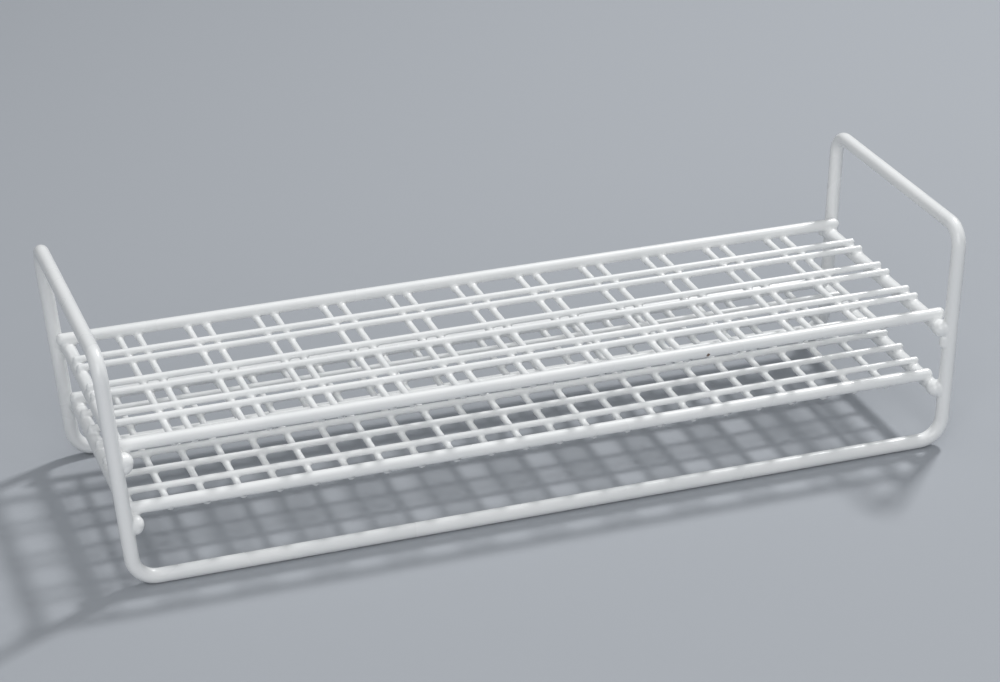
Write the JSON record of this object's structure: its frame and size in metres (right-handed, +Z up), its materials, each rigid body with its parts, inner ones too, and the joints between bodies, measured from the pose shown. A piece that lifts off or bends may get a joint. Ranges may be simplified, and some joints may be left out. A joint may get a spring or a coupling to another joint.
{
  "type": "microcentrifuge tube rack",
  "caption": "White coated wire rack with raised end handles; holes in an upper wire shelf hold microcentrifuge tubes, and a wire grid below steadies their tips.",
  "frame": {"origin": "on the bench, under the middle of the rack", "axes": "+X along the columns of holes towards the right-hand handle, +Y from the front to the rear, +Z up"},
  "size_m": [0.2488, 0.083, 0.069],
  "materials": {
    "white_coating": "satin"
  },
  "bodies": {
    "root": {"frame_wire": "white_coating", "upper_left_end_bar": "white_coating", "upper_right_end_bar": "white_coating", "lower_left_end_bar": "white_coating", "lower_right_end_bar": "white_coating", "upper_front_rail": "white_coating", "upper_rear_rail": "white_coating", "lower_front_rail": "white_coating", "lower_rear_rail": "white_coating", "upper_cross_pair_01": "white_coating", "upper_cross_pair_02": "white_coating", "upper_cross_pair_03": "white_coating", "upper_cross_pair_04": "white_coating", "upper_cross_pair_05": "white_coating", "upper_cross_pair_06": "white_coating", "upper_cross_pair_07": "white_coating", "upper_cross_pair_08": "white_coating", "upper_cross_pair_09": "white_coating", "upper_cross_pair_10": "white_coating", "upper_cross_pair_11": "white_coating", "upper_long_wire_1": "white_coating", "upper_long_wire_2": "white_coating", "upper_long_wire_3": "white_coating", "upper_long_wire_4": "white_coating", "upper_long_wire_5": "white_coating", "upper_long_wire_6": "white_coating", "lower_cross_wire_01": "white_coating", "lower_cross_wire_02": "white_coating", "lower_cross_wire_03": "white_coating", "lower_cross_wire_04": "white_coating", "lower_cross_wire_05": "white_coating", "lower_cross_wire_06": "white_coating", "lower_cross_wire_07": "white_coating", "lower_cross_wire_08": "white_coating", "lower_cross_wire_09": "white_coating", "lower_cross_wire_10": "white_coating", "lower_cross_wire_11": "white_coating", "lower_cross_wire_12": "white_coating", "lower_cross_wire_13": "white_coating", "lower_cross_wire_14": "white_coating", "lower_cross_wire_15": "white_coating", "lower_cross_wire_16": "white_coating", "lower_cross_wire_17": "white_coating", "lower_cross_wire_18": "white_coating", "lower_cross_wire_19": "white_coating", "lower_cross_wire_20": "white_coating", "lower_cross_wire_21": "white_coating", "lower_cross_wire_22": "white_coating", "lower_long_wire_1": "white_coating", "lower_long_wire_2": "white_coating", "lower_long_wire_3": "white_coating", "lower_long_wire_4": "white_coating", "lower_long_wire_5": "white_coating", "lower_long_wire_6": "white_coating"}
  },
  "joints": []
}
